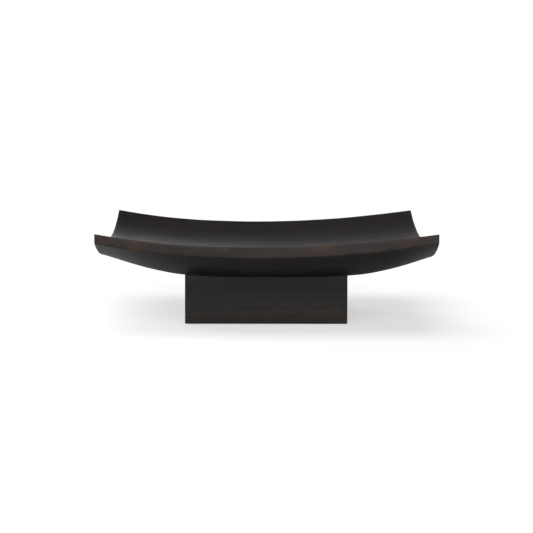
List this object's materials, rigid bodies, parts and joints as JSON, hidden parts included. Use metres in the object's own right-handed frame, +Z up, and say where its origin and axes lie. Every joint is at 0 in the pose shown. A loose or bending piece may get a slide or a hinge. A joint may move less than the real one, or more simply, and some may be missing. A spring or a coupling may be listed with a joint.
{
  "type": "footed wooden dish",
  "caption": "Shallow square carved wooden dish with upswept corners on a square block foot, stained dark brown, for fruit or display.",
  "frame": {"origin": "middle of the foot, on the surface that the felt pads stand on", "axes": "+X along the grain, to the right as seen from the front; -Y is the front; +Z up"},
  "size_m": [0.35, 0.35, 0.1042],
  "materials": {
    "stained_wood": "dark brown-black stain under a thin satin lacquer, grain along X",
    "dowel_wood": "plain beech, unfinished",
    "screw_steel": "bright zinc plate",
    "pad_felt": "dense dark felt"
  },
  "bodies": {
    "root": {"dish": "stained_wood", "foot": "stained_wood", "dowel_left": "dowel_wood", "dowel_right": "dowel_wood", "screw_front_left": "screw_steel", "screw_front_right": "screw_steel", "screw_back_left": "screw_steel", "screw_back_right": "screw_steel", "pad_front_left": "pad_felt", "pad_front_right": "pad_felt", "pad_back_left": "pad_felt", "pad_back_right": "pad_felt"}
  },
  "joints": []
}
